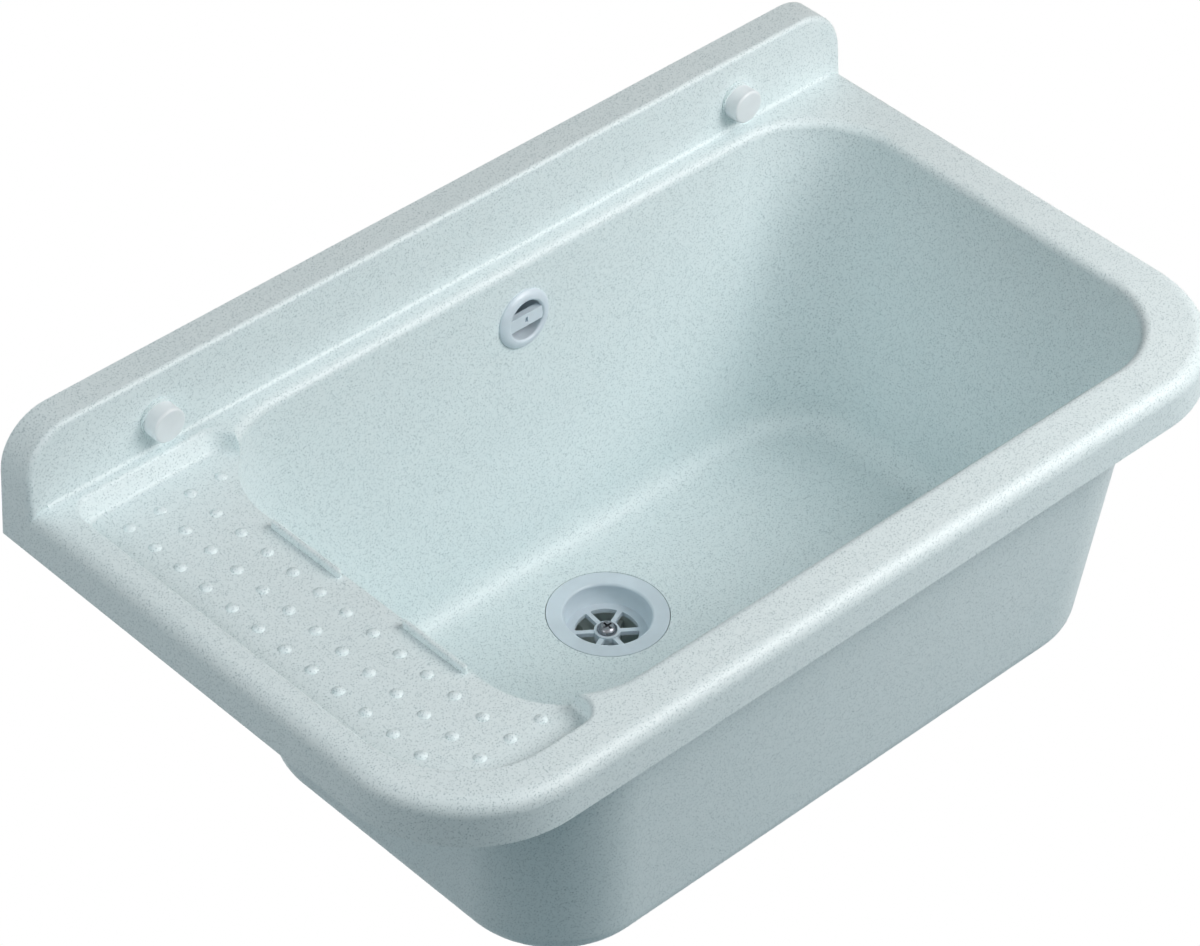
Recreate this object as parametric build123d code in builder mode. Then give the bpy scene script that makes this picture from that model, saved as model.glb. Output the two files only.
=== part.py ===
from build123d import *
import os
from math import asin, cos, degrees, radians, sin, tan

os.makedirs("parts", exist_ok=True)

# The washbasin hangs on a wall in the plane Y = 0 and faces -Y, with +Z up.
# The origin lies on the wall, midway between the two fixing holes.
# All sizes are in millimetres and angles in degrees.

# Moulded shell
WIDTH = 597.0               # over the skirt's lower edge
DEPTH = 347.0               # wall to the front of the skirt's lower edge
WALL = 3.5                  # of the deck, skirt, backsplash and tray
SKIRT_HEIGHT = 27.0         # deck down to the skirt's lower edge
SKIRT_DRAFT = 2.0
RIM_CORNER_R = 76.0         # front corners, seen from above
DECK_EDGE_R = 9.0           # round from the deck into the skirt

# Backsplash
SPLASH_HEIGHT = 45.0        # above the deck
SPLASH_THICKNESS = 24.1     # wall to the face, at the deck
SPLASH_LEAN = 5.2           # of the face, back from upright
SPLASH_CORNER_R = 30.0
SPLASH_EDGE_R = 3.0
SPLASH_ROOT_R = 2.5         # hollow round where the face meets the deck

# Fixing holes and the pieces in them
FIXING_MARGIN = 86.5        # each hole's middle to the shell's side
FIXING_HEIGHT = 17.5        # above the deck
SCREW_HOLE_R = 4.5          # clear for an 8 mm screw
SEAT_BUSH_R = 6.5
SEAT_FLANGE_R = 8.7
SEAT_FLANGE_T = 2.5
SEAT_CLEARANCE = 0.05       # round the bush
CAP_R = 10.3
CAP_CLEARANCE = 0.1         # round the seat's flange
CAP_HEIGHT = 9.0            # proud of its pad
CAP_EDGE_R = 1.5
PAD_MARGIN = 1.0            # flat pad round the cap
PAD_RISE = 0.4              # pad proud of the face at its lowest point
BOSS_WALL = 3.0             # round the bush, behind the face

# Bowl
BOWL_BACK = 36.2            # wall to the bowl's inner back face, at the deck
BOWL_FRONT_MARGIN = 33.5    # shell's front to the bowl's inner front face, at the deck
BOWL_RIGHT_MARGIN = 32.5    # shell's right side to the bowl's inner right face
BOWL_LEFT_MARGIN = 98.0     # the same on the left, where the tray lies between
BOWL_WALL = 6.0             # thicker than the rim, to carry the bowl's load
BOWL_DEPTH = 206.5          # deck to floor
BOWL_DRAFT = 4.7
BOWL_CORNER_R = 54.0
BOWL_FLOOR_R = 17.5
FLOOR_THICKNESS = 5.0
BOWL_EDGE_R = 5.5           # round from the deck into the bowl

# Soap tray, beside the bowl
TRAY_SIDE_MARGIN = 20.5     # shell's left side to the recess
TRAY_FRONT_MARGIN = 26.0    # shell's front to the recess
TRAY_BACK = 30.5            # wall to the recess
TRAY_OVERLAP = 22.0         # how far the recess runs on into the bowl's mouth
TRAY_DEPTH = 10.8
TRAY_BACK_RUN = 6.8         # how far the back wall slopes forward on its way down
TRAY_FRONT_R = 61.0
TRAY_CORNER_R = 12.5
TRAY_FLOOR_R = 3.0
TRAY_EDGE_R = 3.0           # round from the deck into the tray

# Dimples in the tray
DIMPLE_PITCH = 20.3
DIMPLE_R = 3.5
DIMPLE_RISE = 1.8
DIMPLE_SINK = 0.5           # how deep domes and lips root in the tray
DIMPLE_COLUMNS = 4
DIMPLE_SIDE_MARGIN = 19.8   # tray's left edge to the first column
DIMPLE_BACK = 54.8          # first row, from the wall
DIMPLE_FRONT_MARGIN = 20.5  # least distance from the last row to the tray's front edge

# Lips on the tray's edge over the bowl
LIP_THICKNESS = 3.0
LIP_RISE = 4.5
LIP_EDGE_R = 1.3
LIP_MARGIN = 2.9            # lip's middle to the bowl's edge
LIP_SPANS = ((102.0, 155.0), (203.0, 250.0))

# Ribs behind the backsplash, and webs from the bowl back to the wall
RIB_THICKNESS = 2.5
RIB_COUNT = 7
RIB_MARGIN = 46.5           # last rib to the shell's side
WEB_THICKNESS = 4.0
WEB_MARGIN = 70.75          # web to the bowl's side
WEB_DEPTH = 150.0           # below the deck

# Waste
DRAIN_BACK = 115.2          # wall to the middle of the drain
FLANGE_R = 35.4
FLANGE_THICKNESS = 3.0
FLANGE_MARGIN = 0.5         # gap round the flange
SEAL_THICKNESS = 1.5
CUP_MOUTH_R = 25.3
CUP_FOOT_R = 23.3
CUP_DEPTH = 13.0
CUP_WALL = 2.0
CUP_LIP_R = 1.6
CUP_BULGE = 2.3
GRID_THICKNESS = 3.0
WINDOW_R = 18.5
HUB_R = 7.5
HUB_RISE = 0.8
HUB_DROP = 3.0
WINDOW_CORNER_R = 1.0
SPOKE_COUNT = 6
SPOKE_WIDTH = 2.8
SPOKE_TURN = 23.0           # first spoke's angle from +X
CUP_CLEARANCE = 0.6
DRAIN_BOSS_WALL = 12.0      # ring under the floor, outside the hole
DRAIN_BOSS_DEPTH = 5.0
WASTE_SEAL_THICKNESS = 2.5
SEAL_MARGIN = 1.0           # seals and flange inside what they lie on
BODY_FLANGE_T = 4.0
BODY_WALL = 3.0
BODY_DEPTH = 38.0           # flange down to the end of the wide barrel
BODY_NECK = 8.0             # cone from the barrel to the outlet
OUTLET_R = 23.9             # over the threads of a G 1 1/2 outlet
OUTLET_BORE_R = 19.0
OUTLET_LENGTH = 24.0
THREAD_DEPTH = 0.9
THREAD_PITCH = 2.3
INSERT_R = 5.0
INSERT_LENGTH = 12.0
INSERT_HUB_WALL = 3.0
INSERT_DROP = 13.0          # grid's underside down to the insert
INSERT_FLOOR = 2.0
ARM_COUNT = 3
ARM_WIDTH = 4.0
ARM_TURN = 30.0

# Screw in the strainer
SCREW_R = 3.0
SCREW_HEAD_R = 5.8
SCREW_HEAD_H = 3.2
SCREW_CROWN_R = 3.6         # flat in the middle of the head
SCREW_CLEARANCE = 0.06
RECESS_SPAN = 6.0
RECESS_WIDTH = 1.3
RECESS_DEPTH = 2.0
SCREW_END_GAP = 2.0         # screw's end above the insert's end

# Overflow
OVERFLOW_DROP = 36.5        # deck down to the rosette's middle, along the wall
ROSETTE_R = 18.3
ROSETTE_OPENING_R = 12.1
ROSETTE_RISE = 3.6
ROSETTE_EDGE = 1.0
ROSETTE_LIP_R = 1.5
SPIGOT_WALL = 2.0
SPIGOT_LENGTH = 17.0
BAR_WIDTH = 8.0
BAR_THICKNESS = 4.0
BAR_SINK = 1.0              # bar's face below the rosette's highest ring
NOTCH_WIDTH = 2.0
NOTCH_LENGTH = 3.2
NOTCH_DEPTH = 1.8
HOLE_CLEARANCE = 0.6
GASKET_R = 22.0
GASKET_THICKNESS = 2.0
ELBOW_FLANGE_R = 22.5
ELBOW_FLANGE_T = 3.0
ELBOW_WALL = 2.4
ELBOW_LENGTH = 26.5         # gasket to the closed end
THREAD_CLEARANCE = 0.08
PIPE_R = 9.0
PIPE_WALL = 1.5
PIPE_BACK = 18.0            # wall to the pipe's middle
PIPE_CLEARANCE = 0.1
PIPE_INSERT = 12.0          # how far the pipe goes into each socket
SOCKET_WALL = 2.6
SOCKET_DROP = 38.0          # rosette's middle down to the elbow's mouth
RING_THICKNESS = 2.5
NUT_WALL = 2.4
NUT_HEIGHT = 15.0
NUT_CAP = 2.5
NUT_RIB_COUNT = 16
NUT_RIB_R = 0.9
BRANCH_DROP = 24.0          # body's flange top down to the branch's middle
SOCKET_RISE = 30.0          # branch's middle up to its mouth

# Levels and places that follow from the sizes above
DECK = -FIXING_HEIGHT
SKIRT_FOOT = DECK - SKIRT_HEIGHT
SPLASH_TOP = DECK + SPLASH_HEIGHT
FLOOR = DECK - BOWL_DEPTH
FIXING_SPACING = WIDTH - 2 * FIXING_MARGIN
BOWL_LEFT = BOWL_LEFT_MARGIN - WIDTH / 2
BOWL_RIGHT = WIDTH / 2 - BOWL_RIGHT_MARGIN
BOWL_REAR = -BOWL_BACK
BOWL_FRONT = BOWL_FRONT_MARGIN - DEPTH
BOWL_X = (BOWL_LEFT + BOWL_RIGHT) / 2
TRAY_LEFT = TRAY_SIDE_MARGIN - WIDTH / 2
TRAY_RIGHT = BOWL_LEFT + TRAY_OVERLAP
TRAY_FRONT = TRAY_FRONT_MARGIN - DEPTH
TRAY_FLOOR = DECK - TRAY_DEPTH
DIMPLE_ROWS = 1 + int((-TRAY_FRONT - DIMPLE_FRONT_MARGIN - DIMPLE_BACK) / DIMPLE_PITCH)
RIB_PITCH = (WIDTH - 2 * RIB_MARGIN) / (RIB_COUNT - 1)
DRAIN = (BOWL_X, -DRAIN_BACK)
SLOPE = tan(radians(BOWL_DRAFT))
LEAN = tan(radians(SPLASH_LEAN))
OVERCUT = 2.0               # how far cutting shapes stand past the faces that they cut
BRIM = 0.4                  # how far a hollow's brim stands past its rounded edge


def splash_face(level):
    """Y of the backsplash's face at one level."""
    return -SPLASH_THICKNESS + LEAN * (level - DECK)


def bowl_rear(level, outward=0.0):
    """Y of the bowl's back wall at one level, or of a face parallel to it and further out."""
    return BOWL_REAR - SLOPE * (DECK - level) + outward / cos(radians(BOWL_DRAFT))


def edges_within(shape, low, high, reach=0.2):
    """The shape's edges that lie wholly between two corners, give or take the reach."""
    def inside(edge):
        box = edge.bounding_box()
        return all(near - reach <= least and most <= far + reach
                   for near, far, least, most in zip(low, high, box.min, box.max))
    return shape.edges().filter_by(inside)


def bowl_sides(level, outward):
    """X of the bowl's left and right walls and Y of its front and back walls at one level, moved outward."""
    run = SLOPE * (DECK - level) - outward / cos(radians(BOWL_DRAFT))
    return BOWL_LEFT + run, BOWL_RIGHT - run, BOWL_FRONT + run, BOWL_REAR - run


def bowl_block(outward, top, bottom, corner_r, floor_r):
    """The bowl's form, or the same form with all its walls moved outward."""
    with BuildPart() as block:
        for level in (top, bottom):
            left, right, front, rear = bowl_sides(level, outward)
            with BuildSketch(Plane.XY.offset(level)):
                with Locations(((left + right) / 2, (front + rear) / 2)):
                    Rectangle(right - left, rear - front)
        loft(ruled=True)
        upright = block.edges().filter_by(lambda edge: abs(edge.tangent_at(0).Z) > 0.5)
        fillet(upright, radius=corner_r)
        fillet(block.faces().sort_by(Axis.Z)[0].edges(), radius=floor_r)
    return block.part


def rim_block(inset, top, bottom, edge_r):
    """The rim's form without its hollow, or the same form with its walls moved inward."""
    half = WIDTH / 2 - inset
    front = inset - DEPTH
    with BuildPart() as block:
        with BuildSketch(Plane.XY.offset(SKIRT_FOOT)) as outline:
            with BuildLine():
                Polyline((-half, DEPTH), (-half, front), (half, front), (half, DEPTH), close=True)
            make_face()
            fillet(outline.vertices().group_by(Axis.Y)[0], radius=RIM_CORNER_R - inset)
        extrude(amount=top - SKIRT_FOOT, taper=SKIRT_DRAFT)
        upper = block.faces().sort_by(Axis.Z)[-1].edges()
        fillet(upper.sort_by(Axis.Y)[:-1], radius=edge_r)
        if bottom < SKIRT_FOOT:
            extrude(outline.sketch, amount=bottom - SKIRT_FOOT)
        split(bisect_by=Plane.XZ.offset(-OVERCUT if inset else 0), keep=Keep.TOP)
    return block.part


def splash_block(inset, bottom, edge_r):
    """The backsplash's form without its hollow, or the same form with its walls moved inward."""
    side = tan(radians(SKIRT_DRAFT))
    top = SPLASH_TOP - inset
    low = WIDTH / 2 - inset - side * (bottom - SKIRT_FOOT)
    high = WIDTH / 2 - inset - side * (top - SKIRT_FOOT)
    with BuildPart() as block:
        with BuildSketch(Plane.XZ.offset(-OVERCUT if inset else 0)) as outline:
            with BuildLine():
                Polyline((-low, bottom), (low, bottom), (high, top), (-high, top), close=True)
            make_face()
            fillet(outline.vertices().group_by(Axis.Y)[-1], radius=SPLASH_CORNER_R - inset)
        extrude(amount=2 * SPLASH_THICKNESS)
        face_plane = Plane(origin=(0, splash_face(DECK) + inset, DECK), x_dir=(1, 0, 0),
                           z_dir=(0, -cos(radians(SPLASH_LEAN)), sin(radians(SPLASH_LEAN))))
        split(bisect_by=face_plane, keep=Keep.BOTTOM)
        if edge_r:
            fillet(block.faces().sort_by(Axis.Y)[0].edges().sort_by(Axis.Z)[1:], radius=edge_r)
    return block.part


def bowl_hollow():
    """The bowl's inside, with a brim on the deck above it, and the round between the two."""
    with BuildPart() as hollow:
        add(bowl_block(0, DECK, FLOOR, BOWL_CORNER_R, BOWL_FLOOR_R))
        left, right, front, rear = bowl_sides(DECK, 0)
        brim = BOWL_EDGE_R + BRIM
        with BuildSketch(Plane.XY.offset(DECK)):
            with Locations(((left + right) / 2, (front + rear) / 2)):
                RectangleRounded(right - left + 2 * brim, rear - front + 2 * brim, BOWL_CORNER_R + brim)
        extrude(amount=OVERCUT)
        fillet(edges_within(hollow, (left, front, DECK), (right, rear, DECK)), radius=BOWL_EDGE_R)
    return hollow.part


def tray_outline(outward, level):
    """The soap tray's outline at one level, moved outward."""
    back = outward - TRAY_BACK - TRAY_BACK_RUN * (DECK - level) / TRAY_DEPTH
    with BuildSketch(Plane.XY.offset(level)) as outline:
        with BuildLine():
            FilletPolyline((TRAY_LEFT - outward, TRAY_FRONT - outward),
                           (TRAY_RIGHT + outward, TRAY_FRONT - outward),
                           (TRAY_RIGHT + outward, back),
                           (TRAY_LEFT - outward, back),
                           radius=(TRAY_FRONT_R + outward, TRAY_CORNER_R + outward,
                                   TRAY_CORNER_R + outward, TRAY_CORNER_R + outward),
                           close=True)
        make_face()
    return outline.sketch


def tray_block(outward, top, bottom, floor_r):
    """The soap tray's recess, or the same form with its walls moved outward."""
    with BuildPart() as block:
        add(tray_outline(outward, top))
        add(tray_outline(outward, bottom))
        loft(ruled=True)
        if floor_r:
            fillet(block.faces().sort_by(Axis.Z)[0].edges(), radius=floor_r)
    return block.part


def tray_hollow():
    """The tray's inside, with a brim on the deck above it, and the round between the two."""
    with BuildPart() as hollow:
        add(tray_block(0, DECK, TRAY_FLOOR, TRAY_FLOOR_R))
        add(tray_outline(TRAY_EDGE_R + BRIM, DECK))
        extrude(amount=OVERCUT)
        fillet(edges_within(hollow, (TRAY_LEFT, TRAY_FRONT, DECK), (TRAY_RIGHT, -TRAY_BACK, DECK)),
               radius=TRAY_EDGE_R)
    return hollow.part


def dimple_field():
    """Low domes on the tray: three or four to a row, leaving out the corners that the bowl and the rim take."""
    rise_r = (DIMPLE_R ** 2 + DIMPLE_RISE ** 2) / (2 * DIMPLE_RISE)
    spread = degrees(asin(DIMPLE_R / rise_r))
    places = []
    for row in range(DIMPLE_ROWS):
        first = 1 if row == DIMPLE_ROWS - 1 else 0
        last = DIMPLE_COLUMNS if row in (0, DIMPLE_ROWS - 1) else DIMPLE_COLUMNS - 1
        for column in range(first, last):
            places.append((TRAY_LEFT + DIMPLE_SIDE_MARGIN + column * DIMPLE_PITCH,
                           -row * DIMPLE_PITCH - DIMPLE_BACK, TRAY_FLOOR))
    with BuildPart() as dome:
        with BuildSketch(Plane.XZ):
            with BuildLine():
                Polyline((0, DIMPLE_RISE), (0, -DIMPLE_SINK), (DIMPLE_R, -DIMPLE_SINK), (DIMPLE_R, 0))
                CenterArc((0, DIMPLE_RISE - rise_r), rise_r, 90 - spread, spread)
            make_face()
        revolve(axis=Axis.Z)
    with BuildPart() as field:
        with Locations(*places):
            add(dome.part)
    return field.part


def lip_pair():
    """Two rounded ribs along the tray's edge over the bowl."""
    middle = BOWL_LEFT + SLOPE * TRAY_DEPTH - LIP_MARGIN
    with BuildPart() as lips:
        for near, far in LIP_SPANS:
            with BuildSketch(Plane.XY.offset(TRAY_FLOOR - DIMPLE_SINK)):
                with Locations((middle, -(near + far) / 2)):
                    SlotOverall(far - near, LIP_THICKNESS, rotation=90)
            extrude(amount=LIP_RISE + DIMPLE_SINK)
        fillet(lips.faces().filter_by(Axis.Z).group_by(Axis.Z)[-1].edges(), radius=LIP_EDGE_R)
    return lips.part


# Places on the shell that the other pieces share
CUP_FOOT = FLOOR - CUP_DEPTH
CUP_R = CUP_MOUTH_R + CUP_WALL
DRAIN_HOLE_R = CUP_R + CUP_CLEARANCE
DRAIN_BOSS_FOOT = FLOOR - FLOOR_THICKNESS - DRAIN_BOSS_DEPTH
SEAT_LEVEL = FLOOR - FLANGE_THICKNESS - SEAL_THICKNESS
PAD_R = CAP_R + PAD_MARGIN
PAD_FACE = splash_face(-PAD_R) - PAD_RISE
SPIGOT_R = ROSETTE_OPENING_R + SPIGOT_WALL
BACK_WALL = Plane(origin=(BOWL_X, bowl_rear(DECK - OVERFLOW_DROP), DECK - OVERFLOW_DROP), x_dir=(1, 0, 0),
                  z_dir=(0, -cos(radians(BOWL_DRAFT)), sin(radians(BOWL_DRAFT))))

with BuildPart() as basin_shell:
    # Rim and backsplash, rounded where they meet, then hollowed from below and behind
    add(rim_block(0, DECK, SKIRT_FOOT, DECK_EDGE_R))
    add(splash_block(0, DECK - DECK_EDGE_R - WALL, SPLASH_EDGE_R))
    with BuildSketch(Plane.YZ) as root:
        with BuildLine():
            level = DECK + SPLASH_ROOT_R
            Polyline((splash_face(level) + WALL / 2, level), (splash_face(level), level),
                     (splash_face(DECK), DECK), (splash_face(DECK) - SPLASH_ROOT_R, DECK),
                     (splash_face(DECK) - SPLASH_ROOT_R, DECK - WALL / 2), (splash_face(DECK), DECK - WALL / 2),
                     close=True)
        make_face()
        fillet(root.vertices().sort_by_distance((splash_face(DECK), DECK))[0], radius=SPLASH_ROOT_R)
    extrude(amount=WIDTH / 2 - DECK_EDGE_R - SPLASH_ROOT_R, both=True)
    add(rim_block(WALL, DECK - WALL, SKIRT_FOOT - OVERCUT, DECK_EDGE_R - WALL), mode=Mode.SUBTRACT)
    add(splash_block(WALL, DECK - DECK_EDGE_R - WALL, 0), mode=Mode.SUBTRACT)

    # Bowl and tray hang from the deck
    add(bowl_block(BOWL_WALL, DECK - WALL / 2, FLOOR - FLOOR_THICKNESS, BOWL_CORNER_R + BOWL_WALL, BOWL_FLOOR_R))
    add(tray_block(WALL, DECK - WALL / 2, TRAY_FLOOR - WALL, 0))

    # Ribs stiffen the backsplash, and two webs carry the bowl back to the wall
    for rib in range(RIB_COUNT):
        with BuildSketch(Plane.YZ.offset((rib - (RIB_COUNT - 1) / 2) * RIB_PITCH)):
            with BuildLine():
                low = DECK - WALL
                high = SPLASH_TOP - WALL / 2
                Polyline((0, low), (splash_face(low) + WALL / 2, low), (splash_face(high) + WALL / 2, high),
                         (0, high), close=True)
            make_face()
        extrude(amount=RIB_THICKNESS / 2, both=True)
    for place in (BOWL_LEFT + WEB_MARGIN, BOWL_RIGHT - WEB_MARGIN):
        with BuildSketch(Plane.YZ.offset(place)):
            with BuildLine():
                low = DECK - WEB_DEPTH
                high = DECK - WALL / 2
                Polyline((0, low), (bowl_rear(low, WALL / 2), low), (bowl_rear(high, WALL / 2), high),
                         (0, high), close=True)
            make_face()
        extrude(amount=WEB_THICKNESS / 2, both=True)

    # A flat pad and a boss at each fixing hole, and a ring under the drain
    with BuildSketch(Plane.XZ):
        with GridLocations(FIXING_SPACING, 1, 2, 1):
            Circle(SEAT_BUSH_R + BOSS_WALL)
    extrude(amount=-PAD_FACE - WALL / 2)
    with BuildSketch(Plane.XZ.offset(-PAD_FACE)):
        with GridLocations(FIXING_SPACING, 1, 2, 1):
            Circle(PAD_R)
    extrude(amount=-WALL)
    with BuildSketch(Plane.XY.offset(DRAIN_BOSS_FOOT)):
        with Locations(DRAIN):
            Circle(DRAIN_HOLE_R + DRAIN_BOSS_WALL)
    extrude(amount=FLOOR - FLOOR_THICKNESS / 2 - DRAIN_BOSS_FOOT)

    # Hollows of the bowl and the tray, rounded where they open in the deck
    add(bowl_hollow(), mode=Mode.SUBTRACT)
    add(tray_hollow(), mode=Mode.SUBTRACT)

    # Seat and hole for the drain, hole for the overflow, and holes for the wall screws
    with BuildSketch(Plane.XY.offset(FLOOR)):
        with Locations(DRAIN):
            Circle(FLANGE_R + FLANGE_MARGIN)
    extrude(amount=SEAT_LEVEL - FLOOR, mode=Mode.SUBTRACT)
    with BuildSketch(Plane.XY.offset(FLOOR)):
        with Locations(DRAIN):
            Circle(DRAIN_HOLE_R)
    extrude(amount=DRAIN_BOSS_FOOT - OVERCUT - FLOOR, mode=Mode.SUBTRACT)
    with BuildSketch(BACK_WALL):
        Circle(SPIGOT_R + HOLE_CLEARANCE)
    extrude(amount=2 * BOWL_WALL, both=True, mode=Mode.SUBTRACT)
    with BuildSketch(Plane.XZ.offset(-OVERCUT)):
        with GridLocations(FIXING_SPACING, 1, 2, 1):
            Circle(SEAT_BUSH_R + SEAT_CLEARANCE)
    extrude(amount=OVERCUT + SPLASH_THICKNESS, mode=Mode.SUBTRACT)

    # Dimples keep the soap out of the wet, and two lips stop it from sliding into the bowl
    add(dimple_field())
    add(lip_pair())
basin_shell.part.label = "basin_shell"
export_step(basin_shell.part, "parts/basin_shell.step")

# A flanged bush in each fixing hole, and the cap that snaps over its flange
for side, place in (("left", -FIXING_SPACING / 2), ("right", FIXING_SPACING / 2)):
    with BuildPart() as cap_seat:
        with BuildSketch(Plane.XZ.offset(-PAD_FACE)):
            with Locations((place, 0)):
                Circle(SEAT_FLANGE_R)
        extrude(amount=SEAT_FLANGE_T)
        with BuildSketch(Plane.XZ.offset(-PAD_FACE)):
            with Locations((place, 0)):
                Circle(SEAT_BUSH_R)
        extrude(amount=PAD_FACE)
        with BuildSketch(Plane.XZ):
            with Locations((place, 0)):
                Circle(SCREW_HOLE_R)
        extrude(amount=2 * SPLASH_THICKNESS, mode=Mode.SUBTRACT)
    cap_seat.part.label = "cap_seat_" + side
    export_step(cap_seat.part, "parts/cap_seat_" + side + ".step")

    with BuildPart() as screw_cap:
        with BuildSketch(Plane.XZ.offset(-PAD_FACE)):
            with Locations((place, 0)):
                Circle(CAP_R)
        extrude(amount=CAP_HEIGHT)
        fillet(screw_cap.faces().sort_by(Axis.Y)[0].edges(), radius=CAP_EDGE_R)
        with BuildSketch(Plane.XZ.offset(-PAD_FACE)):
            with Locations((place, 0)):
                Circle(SEAT_FLANGE_R + CAP_CLEARANCE)
        extrude(amount=CAP_HEIGHT - CAP_R + SEAT_FLANGE_R + CAP_CLEARANCE, mode=Mode.SUBTRACT)
    screw_cap.part.label = "screw_cap_" + side
    export_step(screw_cap.part, "parts/screw_cap_" + side + ".step")

# Section planes through the overflow and the drain: first the radius, then the way out of the hole
OVERFLOW_SECTION = Plane(origin=BACK_WALL.origin, x_dir=BACK_WALL.x_dir, z_dir=-BACK_WALL.y_dir)
OVERFLOW_AXIS = Axis(BACK_WALL.origin, BACK_WALL.z_dir)
DRAIN_SECTION = Plane(origin=(BOWL_X, -DRAIN_BACK, 0), x_dir=(1, 0, 0), z_dir=(0, -1, 0))
DRAIN_AXIS = Axis((BOWL_X, -DRAIN_BACK, 0), (0, 0, 1))

with BuildPart() as overflow_rosette:
    # A convex ring on a hollow threaded spigot
    with BuildSketch(OVERFLOW_SECTION):
        with BuildLine():
            crest = ROSETTE_OPENING_R + ROSETTE_LIP_R
            inner = ROSETTE_RISE - ROSETTE_LIP_R
            Polyline((ROSETTE_OPENING_R, inner), (ROSETTE_OPENING_R, -SPIGOT_LENGTH), (SPIGOT_R, -SPIGOT_LENGTH),
                     (SPIGOT_R, 0), (ROSETTE_R, 0), (ROSETTE_R, ROSETTE_EDGE))
            TangentArc((crest, ROSETTE_RISE), (ROSETTE_R, ROSETTE_EDGE), tangent=(1, 0), tangent_from_first=True)
            RadiusArc((ROSETTE_OPENING_R, inner), (crest, ROSETTE_RISE), ROSETTE_LIP_R)
        make_face()
    revolve(axis=OVERFLOW_AXIS)
    # The bar across the opening, with a notch for a coin
    with BuildSketch(BACK_WALL.offset(ROSETTE_RISE - BAR_SINK)):
        Circle(ROSETTE_OPENING_R + SPIGOT_WALL / 2)
        Rectangle(3 * ROSETTE_R, BAR_WIDTH, mode=Mode.INTERSECT)
    extrude(amount=-BAR_THICKNESS)
    with BuildSketch(BACK_WALL.offset(ROSETTE_RISE - BAR_SINK)):
        Rectangle(NOTCH_WIDTH, NOTCH_LENGTH)
    extrude(amount=-NOTCH_DEPTH, mode=Mode.SUBTRACT)
overflow_rosette.part.label = "overflow_rosette"
export_step(overflow_rosette.part, "parts/overflow_rosette.step")

with BuildPart() as overflow_gasket:
    with BuildSketch(BACK_WALL.offset(-BOWL_WALL)):
        Circle(GASKET_R)
        Circle(SPIGOT_R + HOLE_CLEARANCE, mode=Mode.SUBTRACT)
    extrude(amount=-GASKET_THICKNESS)
overflow_gasket.part.label = "overflow_gasket"
export_step(overflow_gasket.part, "parts/overflow_gasket.step")

# The overflow pipe runs straight down between two sockets with compression nuts
PIPE_AXIS = (BOWL_X, -PIPE_BACK)
SOCKET_BORE_R = PIPE_R + PIPE_CLEARANCE
SOCKET_R = SOCKET_BORE_R + SOCKET_WALL
UPPER_MOUTH = DECK - OVERFLOW_DROP - SOCKET_DROP
WASTE_TOP = DRAIN_BOSS_FOOT - WASTE_SEAL_THICKNESS
BRANCH_LEVEL = WASTE_TOP - BRANCH_DROP
LOWER_MOUTH = BRANCH_LEVEL + SOCKET_RISE
ELBOW_FACE = -BOWL_WALL - GASKET_THICKNESS
ELBOW_BORE_R = SPIGOT_R + THREAD_CLEARANCE

with BuildPart() as overflow_elbow:
    # Flange and closed barrel square to the bowl's back wall, and a socket that points straight down
    with BuildSketch(BACK_WALL.offset(ELBOW_FACE)):
        Circle(ELBOW_FLANGE_R)
    extrude(amount=-ELBOW_FLANGE_T)
    with BuildSketch(BACK_WALL.offset(ELBOW_FACE)):
        Circle(ELBOW_BORE_R + ELBOW_WALL)
    extrude(amount=-ELBOW_LENGTH)
    with BuildSketch(Plane.XY.offset(UPPER_MOUTH)):
        with Locations(PIPE_AXIS):
            Circle(SOCKET_R)
    extrude(amount=SOCKET_DROP)
    with BuildSketch(BACK_WALL.offset(ELBOW_FACE)):
        Circle(ELBOW_BORE_R)
    extrude(amount=ELBOW_WALL - ELBOW_LENGTH, mode=Mode.SUBTRACT)
    with BuildSketch(Plane.XY.offset(UPPER_MOUTH)):
        with Locations(PIPE_AXIS):
            Circle(PIPE_R - PIPE_WALL)
    extrude(amount=SOCKET_DROP, mode=Mode.SUBTRACT)
    with BuildSketch(Plane.XY.offset(UPPER_MOUTH)):
        with Locations(PIPE_AXIS):
            Circle(SOCKET_BORE_R)
    extrude(amount=PIPE_INSERT, mode=Mode.SUBTRACT)
overflow_elbow.part.label = "overflow_elbow"
export_step(overflow_elbow.part, "parts/overflow_elbow.step")

with BuildPart() as overflow_pipe:
    with BuildSketch(Plane.XY.offset(LOWER_MOUTH - PIPE_INSERT)):
        with Locations(PIPE_AXIS):
            Circle(PIPE_R)
            Circle(PIPE_R - PIPE_WALL, mode=Mode.SUBTRACT)
    extrude(amount=UPPER_MOUTH - LOWER_MOUTH + 2 * PIPE_INSERT)
overflow_pipe.part.label = "overflow_pipe"
export_step(overflow_pipe.part, "parts/overflow_pipe.step")

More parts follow.
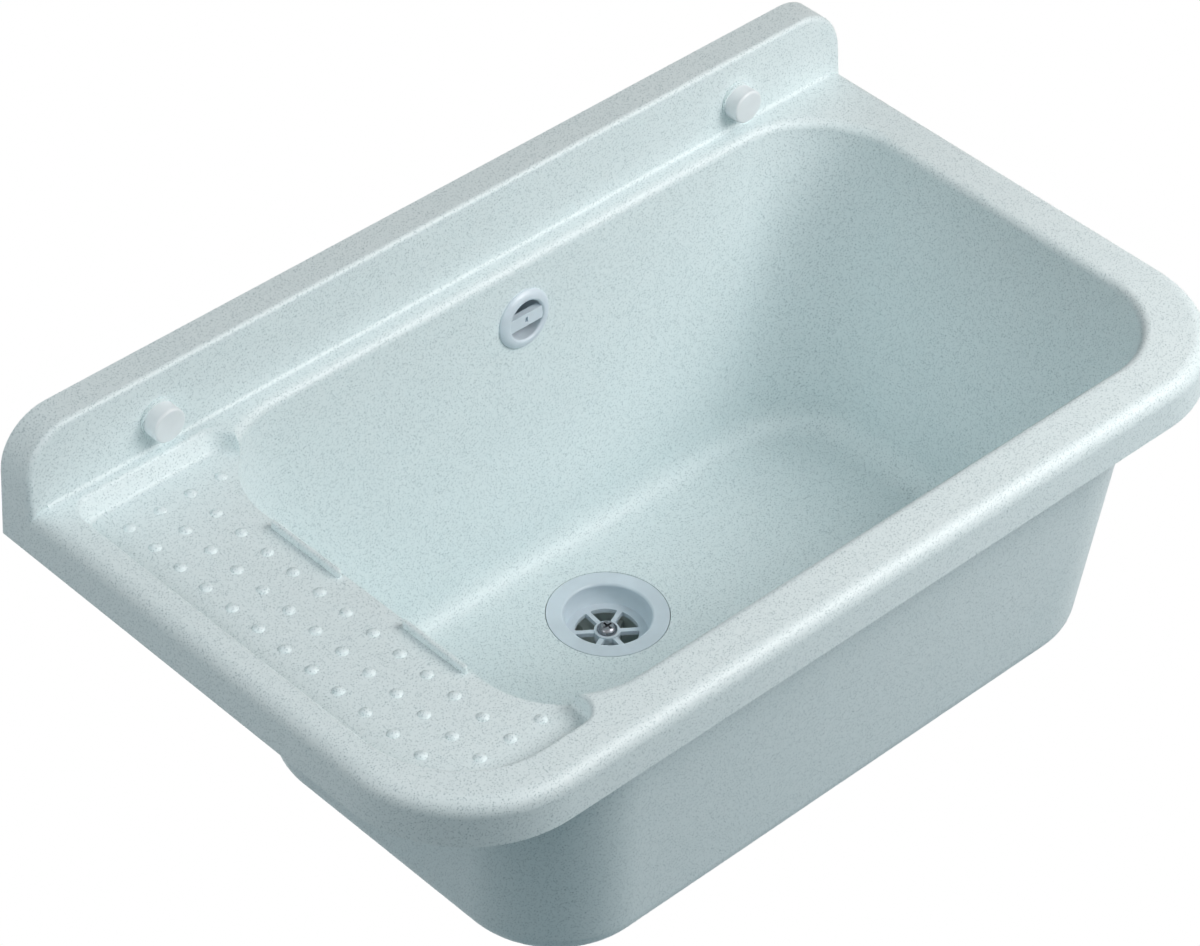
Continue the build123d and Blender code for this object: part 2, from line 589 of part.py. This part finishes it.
# Each socket's mouth is closed by a ring and a nut; the upper mouth looks down and the lower one up
for end, mouth, way in (("upper", UPPER_MOUTH, -1), ("lower", LOWER_MOUTH, 1)):
    rim = Plane(origin=(*PIPE_AXIS, mouth), x_dir=(1, 0, 0), z_dir=(0, 0, way))
    with BuildPart() as overflow_seal:
        with BuildSketch(rim):
            Circle(SOCKET_R)
            Circle(PIPE_R + PIPE_CLEARANCE, mode=Mode.SUBTRACT)
        extrude(amount=RING_THICKNESS)
    overflow_seal.part.label = "overflow_seal_" + end
    export_step(overflow_seal.part, "parts/overflow_seal_" + end + ".step")

    nut_r = SOCKET_R + PIPE_CLEARANCE + NUT_WALL
    with BuildPart() as overflow_nut:
        with BuildSketch(rim.offset(RING_THICKNESS + NUT_CAP)):
            Circle(nut_r)
            with PolarLocations(nut_r, NUT_RIB_COUNT):
                Circle(NUT_RIB_R)
        extrude(amount=-NUT_HEIGHT)
        with BuildSketch(rim.offset(RING_THICKNESS)):
            Circle(SOCKET_R + PIPE_CLEARANCE)
        extrude(amount=-NUT_HEIGHT, mode=Mode.SUBTRACT)
        with BuildSketch(rim):
            Circle(PIPE_R + PIPE_CLEARANCE)
        extrude(amount=RING_THICKNESS + NUT_CAP, mode=Mode.SUBTRACT)
    overflow_nut.part.label = "overflow_nut_" + end
    export_step(overflow_nut.part, "parts/overflow_nut_" + end + ".step")

with BuildPart() as strainer_flange:
    # Flange, cup and grid are one turned form
    grid_foot = CUP_FOOT - GRID_THICKNESS
    with BuildSketch(DRAIN_SECTION):
        with BuildLine():
            Polyline((0, CUP_FOOT), (CUP_FOOT_R, CUP_FOOT))
            ThreePointArc((CUP_FOOT_R, CUP_FOOT), (CUP_FOOT_R + CUP_BULGE, (CUP_FOOT + FLOOR) / 2),
                          (CUP_MOUTH_R, FLOOR - CUP_LIP_R))
            RadiusArc((CUP_MOUTH_R, FLOOR - CUP_LIP_R), (CUP_MOUTH_R + CUP_LIP_R, FLOOR), CUP_LIP_R)
            Polyline((CUP_MOUTH_R + CUP_LIP_R, FLOOR), (FLANGE_R, FLOOR), (FLANGE_R, FLOOR - FLANGE_THICKNESS),
                     (CUP_R, FLOOR - FLANGE_THICKNESS), (CUP_R, grid_foot), (0, grid_foot), (0, CUP_FOOT))
        make_face()
    revolve(axis=DRAIN_AXIS)
    # A hub for the screw, six windows between the spokes, and the screw's hole
    with BuildSketch(Plane.XY.offset(CUP_FOOT + HUB_RISE)):
        with Locations(DRAIN):
            Circle(HUB_R)
    extrude(amount=-HUB_RISE - GRID_THICKNESS - HUB_DROP)
    with BuildSketch(Plane.XY.offset(CUP_FOOT)) as windows:
        with Locations(DRAIN):
            Circle(WINDOW_R)
            Circle(HUB_R, mode=Mode.SUBTRACT)
            with PolarLocations(WINDOW_R / 2, SPOKE_COUNT, start_angle=SPOKE_TURN):
                Rectangle(WINDOW_R + OVERCUT, SPOKE_WIDTH, mode=Mode.SUBTRACT)
        fillet(windows.vertices(), radius=WINDOW_CORNER_R)
    extrude(amount=-GRID_THICKNESS, mode=Mode.SUBTRACT)
    with BuildSketch(Plane.XY.offset(CUP_FOOT + HUB_RISE)):
        with Locations(DRAIN):
            Circle(SCREW_R + SCREW_CLEARANCE)
    extrude(amount=-HUB_RISE - GRID_THICKNESS - HUB_DROP, mode=Mode.SUBTRACT)
strainer_flange.part.label = "strainer_flange"
export_step(strainer_flange.part, "parts/strainer_flange.step")

with BuildPart() as flange_seal:
    with BuildSketch(Plane.XY.offset(SEAT_LEVEL)):
        with Locations(DRAIN):
            Circle(FLANGE_R - SEAL_MARGIN)
            Circle(DRAIN_HOLE_R, mode=Mode.SUBTRACT)
    extrude(amount=SEAL_THICKNESS)
flange_seal.part.label = "flange_seal"
export_step(flange_seal.part, "parts/flange_seal.step")

BODY_FLANGE_R = DRAIN_HOLE_R + DRAIN_BOSS_WALL - SEAL_MARGIN
with BuildPart() as waste_seal:
    with BuildSketch(Plane.XY.offset(WASTE_TOP)):
        with Locations(DRAIN):
            Circle(BODY_FLANGE_R - SEAL_MARGIN)
            Circle(DRAIN_HOLE_R, mode=Mode.SUBTRACT)
    extrude(amount=WASTE_SEAL_THICKNESS)
waste_seal.part.label = "waste_seal"
export_step(waste_seal.part, "parts/waste_seal.step")

# Levels down the waste
BODY_FOOT = WASTE_TOP - BODY_DEPTH
OUTLET_TOP = BODY_FOOT - BODY_NECK
OUTLET_FOOT = OUTLET_TOP - OUTLET_LENGTH
INSERT_TOP = CUP_FOOT - GRID_THICKNESS - INSERT_DROP
INSERT_HUB_R = INSERT_R + INSERT_HUB_WALL
BARREL_R = DRAIN_HOLE_R + BODY_WALL

with BuildPart() as waste_body:
    # Flange, barrel, neck and the outlet with its grooved thread, turned solid
    grooves = [(OUTLET_R - depth, OUTLET_FOOT + (turn + part) * THREAD_PITCH)
               for turn in range(int(OUTLET_LENGTH / THREAD_PITCH) - 1, 0, -1)
               for depth, part in ((0, 0.5), (THREAD_DEPTH, 0.35), (THREAD_DEPTH, 0.25), (0, 0.1))]
    with BuildSketch(DRAIN_SECTION):
        with BuildLine():
            Polyline((0, WASTE_TOP), (BODY_FLANGE_R, WASTE_TOP), (BODY_FLANGE_R, WASTE_TOP - BODY_FLANGE_T),
                     (BARREL_R, WASTE_TOP - BODY_FLANGE_T), (BARREL_R, BODY_FOOT), (OUTLET_R, OUTLET_TOP),
                     *grooves, (OUTLET_R, OUTLET_FOOT), (0, OUTLET_FOOT), close=True)
        make_face()
    revolve(axis=DRAIN_AXIS)
    # The overflow's branch runs back under the bowl and turns up to its socket
    with BuildSketch(Plane.XZ.offset(PIPE_BACK)):
        with Locations((BOWL_X, BRANCH_LEVEL)):
            Circle(SOCKET_R)
    extrude(amount=DRAIN_BACK - PIPE_BACK)
    with BuildSketch(Plane.XY.offset(BRANCH_LEVEL)):
        with Locations(PIPE_AXIS):
            Circle(SOCKET_R)
    extrude(amount=SOCKET_RISE)
    with Locations((*PIPE_AXIS, BRANCH_LEVEL)):
        Sphere(SOCKET_R)
    # The hollows: barrel, neck and outlet, then the branch and its socket
    with BuildSketch(DRAIN_SECTION):
        with BuildLine():
            Polyline((0, WASTE_TOP), (DRAIN_HOLE_R, WASTE_TOP), (DRAIN_HOLE_R, BODY_FOOT),
                     (OUTLET_BORE_R, OUTLET_TOP), (OUTLET_BORE_R, OUTLET_FOOT), (0, OUTLET_FOOT), close=True)
        make_face()
    revolve(axis=DRAIN_AXIS, mode=Mode.SUBTRACT)
    with BuildSketch(Plane.XZ.offset(PIPE_BACK)):
        with Locations((BOWL_X, BRANCH_LEVEL)):
            Circle(PIPE_R - PIPE_WALL)
    extrude(amount=DRAIN_BACK - PIPE_BACK, mode=Mode.SUBTRACT)
    with Locations((*PIPE_AXIS, BRANCH_LEVEL)):
        Sphere(PIPE_R - PIPE_WALL, mode=Mode.SUBTRACT)
    with BuildSketch(Plane.XY.offset(BRANCH_LEVEL)):
        with Locations(PIPE_AXIS):
            Circle(PIPE_R - PIPE_WALL)
    extrude(amount=SOCKET_RISE, mode=Mode.SUBTRACT)
    with BuildSketch(Plane.XY.offset(LOWER_MOUTH)):
        with Locations(PIPE_AXIS):
            Circle(SOCKET_BORE_R)
    extrude(amount=-PIPE_INSERT, mode=Mode.SUBTRACT)
    # Three arms hold the hub with the insert's pocket in the middle of the barrel
    with BuildSketch(Plane.XY.offset(INSERT_TOP)):
        with Locations(DRAIN):
            Circle(INSERT_HUB_R)
            with PolarLocations(BARREL_R / 2 - BODY_WALL / 4, ARM_COUNT, start_angle=ARM_TURN):
                Rectangle(BARREL_R - BODY_WALL / 2, ARM_WIDTH)
    extrude(amount=-INSERT_LENGTH - INSERT_FLOOR)
    with BuildSketch(Plane.XY.offset(INSERT_TOP)):
        with Locations(DRAIN):
            Circle(INSERT_R)
    extrude(amount=-INSERT_LENGTH, mode=Mode.SUBTRACT)
waste_body.part.label = "waste_body"
export_step(waste_body.part, "parts/waste_body.step")

with BuildPart() as screw_insert:
    with BuildSketch(Plane.XY.offset(INSERT_TOP)):
        with Locations(DRAIN):
            Circle(INSERT_R)
            Circle(SCREW_R + SCREW_CLEARANCE, mode=Mode.SUBTRACT)
    extrude(amount=-INSERT_LENGTH)
screw_insert.part.label = "screw_insert"
export_step(screw_insert.part, "parts/screw_insert.step")

with BuildPart() as strainer_screw:
    # Domed head with a cross recess, on a shank that reaches into the insert
    seat = CUP_FOOT + HUB_RISE
    with BuildSketch(DRAIN_SECTION):
        with BuildLine():
            Polyline((SCREW_CROWN_R, seat + SCREW_HEAD_H), (0, seat + SCREW_HEAD_H), (0, seat),
                     (SCREW_HEAD_R, seat), (SCREW_HEAD_R, seat + SCREW_HEAD_H / 3))
            RadiusArc((SCREW_CROWN_R, seat + SCREW_HEAD_H), (SCREW_HEAD_R, seat + SCREW_HEAD_H / 3), SCREW_HEAD_R)
        make_face()
    revolve(axis=DRAIN_AXIS)
    with BuildSketch(Plane.XY.offset(seat)):
        with Locations(DRAIN):
            Circle(SCREW_R)
    extrude(amount=INSERT_TOP - INSERT_LENGTH + SCREW_END_GAP - seat)
    with BuildSketch(Plane.XY.offset(seat + SCREW_HEAD_H)):
        with Locations(DRAIN):
            with PolarLocations(0, 2, angular_range=180):
                Rectangle(RECESS_SPAN, RECESS_WIDTH)
    extrude(amount=-RECESS_DEPTH, mode=Mode.SUBTRACT)
strainer_screw.part.label = "strainer_screw"
export_step(strainer_screw.part, "parts/strainer_screw.step")
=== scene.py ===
import math

import bpy
import numpy as np
from mathutils import Matrix, Vector


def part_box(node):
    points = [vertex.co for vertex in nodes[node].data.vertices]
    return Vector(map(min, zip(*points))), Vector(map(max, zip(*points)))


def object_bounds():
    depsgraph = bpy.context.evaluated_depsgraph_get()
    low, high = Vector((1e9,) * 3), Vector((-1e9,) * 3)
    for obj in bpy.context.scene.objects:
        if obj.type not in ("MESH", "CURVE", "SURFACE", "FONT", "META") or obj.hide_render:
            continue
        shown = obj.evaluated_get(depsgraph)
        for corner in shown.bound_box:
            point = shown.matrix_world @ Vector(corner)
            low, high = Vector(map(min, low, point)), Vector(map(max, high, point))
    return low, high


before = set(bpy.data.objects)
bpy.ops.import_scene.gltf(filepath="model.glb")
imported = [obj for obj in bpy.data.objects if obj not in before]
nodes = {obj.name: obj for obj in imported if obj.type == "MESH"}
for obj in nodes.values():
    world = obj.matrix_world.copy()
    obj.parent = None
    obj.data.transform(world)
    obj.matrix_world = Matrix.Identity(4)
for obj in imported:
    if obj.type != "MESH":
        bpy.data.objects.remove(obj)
cad_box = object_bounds()


# The moulded shell: deck, backsplash, skirt, bowl and soap tray in one piece. It is cast in a pale
# blue-green plastic that is filled with dark grains, which gives a granite look and a satin skin
# with a fine orange peel. It has no fixings of its own: two wall screws hold it up.
class Output:
    """An output of a node. Plus, minus, times, divided and raised, it adds Math nodes."""

    def __init__(self, tree, socket):
        self.tree = tree
        self.socket = socket

    def math(self, operation, *values):
        """Adds a Math node that does one operation on the values."""
        return add_node(self.tree, "ShaderNodeMath", {"operation": operation}, dict(enumerate(values)))

    def __add__(self, other):
        return self.math("ADD", self, other)

    __radd__ = __add__

    def __sub__(self, other):
        return self.math("SUBTRACT", self, other)

    def __rsub__(self, other):
        return self.math("SUBTRACT", other, self)

    def __mul__(self, other):
        return self.math("MULTIPLY", self, other)

    __rmul__ = __mul__

    def __truediv__(self, other):
        return self.math("DIVIDE", self, other)

    def __rtruediv__(self, other):
        return self.math("DIVIDE", other, self)

    def __pow__(self, other):
        return self.math("POWER", self, other)

    def __rpow__(self, other):
        return self.math("POWER", other, self)

    def sine(self):
        return self.math("SINE", self)

    def highest(self, other):
        """The greater of this value and another."""
        return self.math("MAXIMUM", self, other)

    def ease(self, low, high):
        """Nought below low and one above high, with a straight run between."""
        run = (self - low) / (high - low)
        return self.math("MINIMUM", run.highest(0.0), 1.0)

    def beside(self, name):
        """Another output of the same node."""
        return Output(self.tree, self.socket.node.outputs[name])


def fill(tree, socket, value):
    """Links an output to a socket, or sets a value there. A colour gets its fourth part, one."""
    if isinstance(value, Output):
        tree.links.new(value.socket, socket)
    elif socket.type == "RGBA":
        socket.default_value = (*value, 1.0)
    else:
        socket.default_value = value


def add_node(tree, kind, settings=None, sockets=None, output=0):
    """Adds a node: its settings first, then the values or links of its sockets. Gives one output."""
    node = tree.nodes.new(kind)
    for name, value in (settings or {}).items():
        setattr(node, name, value)
    for name, value in (sockets or {}).items():
        fill(tree, node.inputs[name], value)
    return Output(tree, node.outputs[output])


class Finish:
    """A material with one Principled surface, and the patterns that vary it from place to place."""

    def __init__(self, name):
        self.material = bpy.data.materials.new(name)
        self.material.use_nodes = True
        self.tree = self.material.node_tree
        self.shader = self.tree.nodes["Principled BSDF"]
        self.place = self.node("ShaderNodeTexCoord", output="Object")

    def node(self, kind, settings=None, sockets=None, output=0):
        return add_node(self.tree, kind, settings, sockets, output)

    def noise(self, waves, detail=2.0):
        """Smooth noise about one half, with so many waves to the metre."""
        return self.node("ShaderNodeTexNoise", None,
                         {"Vector": self.place, "Scale": waves, "Detail": detail})

    def patches(self, waves, low, high, detail=3.0):
        """Soft-edged patches: noise that counts as nought up to low and as one from high on."""
        return self.noise(waves, detail).ease(low, high)

    def spots(self, cells, radius, left_out):
        """Soft spots round scattered points, one in each cell, apart from the share that is left out."""
        distance = self.node("ShaderNodeTexVoronoi", None,
                             {"Vector": self.place, "Scale": cells}, "Distance")
        lot = self.node("ShaderNodeSeparateColor", None, {"Color": distance.beside("Color")})
        return lot.ease(left_out, 1.0) * (1.0 - distance.ease(radius * 0.5, radius))

    def blend(self, factor, first, second):
        """From the first colour to the second as the factor goes from nought to one."""
        # On a Mix node that mixes colours, these are sockets 6 and 7, and the colour comes out at 2.
        return self.node("ShaderNodeMix", {"data_type": "RGBA"}, {0: factor, 6: first, 7: second}, 2)

    def relief(self, height, depth):
        """A bump whose height of one stands for the depth in metres."""
        return self.node("ShaderNodeBump", None, {"Height": height, "Distance": depth, "Strength": 1.0})

    def surface(self, **values):
        """Sets or links the Principled shader's sockets, named with underscores for spaces."""
        for name, value in values.items():
            fill(self.tree, self.shader.inputs[name.replace("_", " ").title()], value)
        return self.material


def coat(material, *names):
    """Gives CAD nodes a material in place of the one that they came with."""
    for name in names:
        mesh = nodes[name].data
        mesh.materials.clear()
        mesh.materials.append(material)


SHELL_COLOUR = (0.79, 0.888, 0.90)
SHELL_SHADE = (0.745, 0.853, 0.868)
CLOUD_WAVES = 28.0                  # wide clouds in the colour, in waves to the metre
CLOUD_RANGE = (0.35, 0.65)
MOTTLE_WAVES = 300.0                # a narrow mottle on them
MOTTLE_RANGE = (0.30, 0.70)
SHADE_SHARE = 0.30                  # how far each of the two goes towards the shade
GRAIN_COLOUR = (0.15, 0.26, 0.29)
GRAIN_TURN = (0.62, 0.48, 0.35)     # keeps every wall off the grain's cells, which would show as stripes
# Each kind of grain has its cells to the metre, its radius in cells, the share of cells that have
# none, and how dark it gets.
FINE_GRAIN = (1250.0, 0.50, 0.30, 0.85)
COARSE_GRAIN = (420.0, 0.24, 0.78, 0.62)
PEEL_WAVES = 260.0
FINE_PEEL_WAVES = 1100.0
PEEL_SHARE = 0.7                    # of the relief, and the fine peel has the rest
PEEL_DEPTH = 0.00003
SATIN_WAVES = 160.0
SATIN_ROUGHNESS = 0.40
SATIN_SPREAD = 0.10


def grained_plastic():
    """Pale plastic full of fine dark grains, each one a spot round a scattered point."""
    skin = Finish("grained_plastic")
    skin.place = skin.node("ShaderNodeMapping", None, {"Vector": skin.place, "Rotation": GRAIN_TURN})
    cloud = skin.patches(CLOUD_WAVES, *CLOUD_RANGE)
    mottle = skin.patches(MOTTLE_WAVES, *MOTTLE_RANGE)
    colour = skin.blend(cloud * SHADE_SHARE + mottle * SHADE_SHARE, SHELL_COLOUR, SHELL_SHADE)
    for cells, radius, left_out, darkness in (FINE_GRAIN, COARSE_GRAIN):
        colour = skin.blend(skin.spots(cells, radius, left_out) * darkness, colour, GRAIN_COLOUR)
    peel = skin.noise(PEEL_WAVES) * PEEL_SHARE + skin.noise(FINE_PEEL_WAVES, 1.0) * (1.0 - PEEL_SHARE)
    return skin.surface(base_color=colour,
                        roughness=skin.noise(SATIN_WAVES) * SATIN_SPREAD + SATIN_ROUGHNESS,
                        normal=skin.relief(peel, PEEL_DEPTH))


coat(grained_plastic(), "basin_shell")


# The trim that shows is injection moulded in a smooth plastic, glossier than the shell. The two screw
# caps and their seats are white. The overflow rosette and the strainer come with the waste and are a
# little greyer and bluer.
CAP_COLOUR = (0.86, 0.92, 0.94)
WASTE_COLOUR = (0.69, 0.785, 0.85)
TRIM_ROUGHNESS = 0.26
FLOW_WAVES = 60.0                   # clouds where the plastic flowed in, in waves to the metre
FLOW_RANGE = (0.35, 0.65)
FLOW_SHADE = 0.93                   # what is left of the colour inside them
GLOSS_WAVES = 240.0
GLOSS_SPREAD = 0.08
RIPPLE_WAVES = 300.0
RIPPLE_DEPTH = 0.00003


def scaled(colour, share):
    """The colour with its three parts times a share."""
    return tuple(share * part for part in colour)


def smooth_plastic(name, colour, roughness):
    """Smooth moulded plastic: a slight cloud in the colour and very shallow flow marks."""
    skin = Finish(name)
    flow = skin.patches(FLOW_WAVES, *FLOW_RANGE)
    return skin.surface(base_color=skin.blend(flow, colour, scaled(colour, FLOW_SHADE)),
                        roughness=skin.noise(GLOSS_WAVES) * GLOSS_SPREAD + roughness,
                        normal=skin.relief(skin.noise(RIPPLE_WAVES), RIPPLE_DEPTH))


coat(smooth_plastic("cap_plastic", CAP_COLOUR, TRIM_ROUGHNESS),
     "screw_cap_left", "screw_cap_right", "cap_seat_left", "cap_seat_right")
coat(smooth_plastic("waste_plastic", WASTE_COLOUR, TRIM_ROUGHNESS),
     "overflow_rosette", "strainer_flange")


# The fittings behind and below the bowl are the elbow, the pipe with its two nuts, and the waste
# body. They are moulded in a plain white plastic, duller than the trim, and screwed together.
FITTING_COLOUR = (0.74, 0.785, 0.75)
FITTING_ROUGHNESS = 0.34

coat(smooth_plastic("fitting_plastic", FITTING_COLOUR, FITTING_ROUGHNESS),
     "overflow_elbow", "overflow_nut_upper", "overflow_pipe", "overflow_nut_lower", "waste_body")


# The gasket and the seals are rings of matt black rubber with a dusty bloom. The pieces on either
# side of each one hold it in place.
RUBBER_COLOUR = (0.022, 0.023, 0.024)
RUBBER_BLOOM = (0.055, 0.055, 0.055)
RUBBER_ROUGHNESS = 0.62
BLOOM_WAVES = 220.0
BLOOM_RANGE = (0.45, 0.75)
BLOOM_DETAIL = 4.0
BLOOM_SPREAD = 0.15
PITTING_WAVES = 900.0
PITTING_DEPTH = 0.00008


def seal_rubber():
    """Black rubber, lighter where a noise bloom settles."""
    skin = Finish("seal_rubber")
    bloom = skin.patches(BLOOM_WAVES, *BLOOM_RANGE, BLOOM_DETAIL)
    return skin.surface(base_color=skin.blend(bloom, RUBBER_COLOUR, RUBBER_BLOOM),
                        roughness=bloom * BLOOM_SPREAD + RUBBER_ROUGHNESS,
                        normal=skin.relief(skin.noise(PITTING_WAVES, 3.0), PITTING_DEPTH))


coat(seal_rubber(),
     "overflow_gasket", "overflow_seal_upper", "overflow_seal_lower", "flange_seal", "waste_seal")


# The strainer's screw is plated steel, and the insert that it turns into is machined brass. Both
# keep fine turning marks round their axis, which is the drain's.
STEEL_COLOUR = (0.22, 0.23, 0.25)
STEEL_ROUGHNESS = 0.24
BRASS_COLOUR = (0.70, 0.50, 0.22)
BRASS_ROUGHNESS = 0.3
DULL_WAVES = 500.0                  # dull patches, in waves to the metre
DULL_RANGE = (0.4, 0.8)
DULL_SHADE = 0.7                    # what is left of the colour inside them
RING_RATE = 9000.0                  # how fast the turning marks come, in radians to the metre
RING_SPREAD = 0.10
RING_DEPTH = 0.00001

low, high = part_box("strainer_screw")
TO_AXIS = (-(low[0] + high[0]) / 2, -(low[1] + high[1]) / 2, 0.0)


def turned_metal(name, colour, roughness):
    """Turned metal: rings round the drain's axis, as a wave of the distance from that axis."""
    skin = Finish(name)
    moved = skin.node("ShaderNodeMapping", None, {"Vector": skin.place, "Location": TO_AXIS})
    across = skin.node("ShaderNodeSeparateXYZ", None, {"Vector": moved}, "X")
    along = across.beside("Y")
    radius = (across * across + along * along) ** 0.5
    rings = (radius * RING_RATE).sine() * 0.5 + 0.5
    dull = skin.patches(DULL_WAVES, *DULL_RANGE)
    return skin.surface(base_color=skin.blend(dull, colour, scaled(colour, DULL_SHADE)), metallic=1.0,
                        roughness=rings * RING_SPREAD + roughness, normal=skin.relief(rings, RING_DEPTH))


coat(turned_metal("plated_steel", STEEL_COLOUR, STEEL_ROUGHNESS), "strainer_screw")
coat(turned_metal("machined_brass", BRASS_COLOUR, BRASS_ROUGHNESS), "screw_insert")


# The floor is plain, painted, and some way below the basin, as under any that hangs on a wall. The
# camera sees it as white, like the space round it. Its own blue-green only colours the light that
# it throws back at the basin.
FLOOR_DROP = 0.60
FLOOR_REACH = 6.0
FLOOR_COLOUR = (0.16, 0.41, 0.50)
FLOOR_ROUGHNESS = 0.9
WHITE = (1.0, 1.0, 1.0)

corners = np.array([(-1.0, -1.0, 0.0), (1.0, -1.0, 0.0), (1.0, 1.0, 0.0), (-1.0, 1.0, 0.0)]) * FLOOR_REACH
corners[:, 2] = cad_box[0][2] - FLOOR_DROP
floor_mesh = bpy.data.meshes.new("floor")
floor_mesh.from_pydata(corners, [], [(0, 1, 2, 3)])
floor = bpy.data.objects.new("floor", floor_mesh)
bpy.context.collection.objects.link(floor)


def white_to_camera(tree, shader, white_kind, end):
    """Shows plain white where the camera, a reflection or a transmission looks straight at it."""
    ray = add_node(tree, "ShaderNodeLightPath", output="Is Camera Ray")
    seen = ray.highest(ray.beside("Is Glossy Ray")).highest(ray.beside("Is Transmission Ray"))
    white = add_node(tree, white_kind, None, {"Color": WHITE, "Strength": 1.0})
    own = Output(tree, shader.outputs[0])
    mixed = add_node(tree, "ShaderNodeMixShader", None, {0: seen, 1: own, 2: white})
    fill(tree, tree.nodes[end].inputs["Surface"], mixed)


paint = Finish("floor_paint")
floor_mesh.materials.append(paint.surface(base_color=FLOOR_COLOUR, roughness=FLOOR_ROUGHNESS))
white_to_camera(paint.tree, paint.shader, "ShaderNodeEmission", "Material Output")

world = bpy.data.worlds.new("studio")
bpy.context.scene.world = world
world.use_nodes = True
sky = world.node_tree.nodes["Background"]
sky.inputs["Strength"].default_value = 0.0
white_to_camera(world.node_tree, sky, "ShaderNodeBackground", "World Output")


# Four square lamps stand round the basin and face its middle: a warm key on the right, a wide cool
# one in front, a small cool one on the left, and a plain one low on the wall's side.
LAMP_AIM = Vector((0.0, -0.17, -0.12))
WARM = (1.0, 0.95, 0.93)
COOL = (0.94, 0.965, 0.98)


def studio_lamp(name, bearing, height, reach, size, power, colour):
    """A lamp on a sphere round the basin, its bearing in degrees from the front towards the right."""
    turn = math.radians(bearing)
    rise = math.radians(height)
    way = Vector((math.cos(rise) * math.sin(turn), -math.cos(rise) * math.cos(turn), math.sin(rise)))
    lamp = bpy.data.lights.new(name, "AREA")
    lamp.shape = "SQUARE"
    lamp.size = size
    lamp.energy = power
    lamp.color = colour
    holder = bpy.data.objects.new(name, lamp)
    holder.location = LAMP_AIM + reach * way
    holder.rotation_euler = (LAMP_AIM - holder.location).to_track_quat("-Z", "Y").to_euler()
    bpy.context.collection.objects.link(holder)


studio_lamp("key_lamp", 44.0, 42.0, 1.35, 0.7, 9.6, WARM)
studio_lamp("front_lamp", 15.0, 44.0, 2.30, 1.2, 21.5, COOL)
studio_lamp("side_fill", 262.0, 33.0, 1.25, 0.7, 4.8, COOL)
studio_lamp("wall_lamp", 180.0, -8.0, 1.60, 0.9, 9.0, WHITE)


# The camera stands to the front left and looks down, through a long lens and with a slight roll.
# Its place and turn were solved from the basin's edges. Its azimuth counts from the front towards
# the right, in degrees.
CAMERA_PLACE = (-1.3146, -1.4387, 1.5052)
CAMERA_AZIMUTH = -45.27
CAMERA_ELEVATION = 40.69
CAMERA_ROLL = 2.47
CAMERA_LENS = 134.97
CAMERA_SENSOR = 36.0

turn = math.radians(CAMERA_AZIMUTH)
tilt = math.radians(CAMERA_ELEVATION)
roll = math.radians(CAMERA_ROLL)
back = Vector((math.sin(turn) * math.cos(tilt), -math.cos(turn) * math.cos(tilt), math.sin(tilt)))
level = Vector((math.cos(turn), math.sin(turn), 0.0))
upward = back.cross(level)
right = math.cos(roll) * level + math.sin(roll) * upward
upright = math.cos(roll) * upward - math.sin(roll) * level
camera_data = bpy.data.cameras.new("camera")
camera_data.lens = CAMERA_LENS
camera_data.sensor_width = CAMERA_SENSOR
camera = bpy.data.objects.new("camera", camera_data)
camera.matrix_world = Matrix.Translation(CAMERA_PLACE) @ Matrix((right, upright, back)).transposed().to_4x4()
bpy.context.collection.objects.link(camera)
bpy.context.scene.camera = camera
bpy.context.scene.view_settings.view_transform = "Standard"
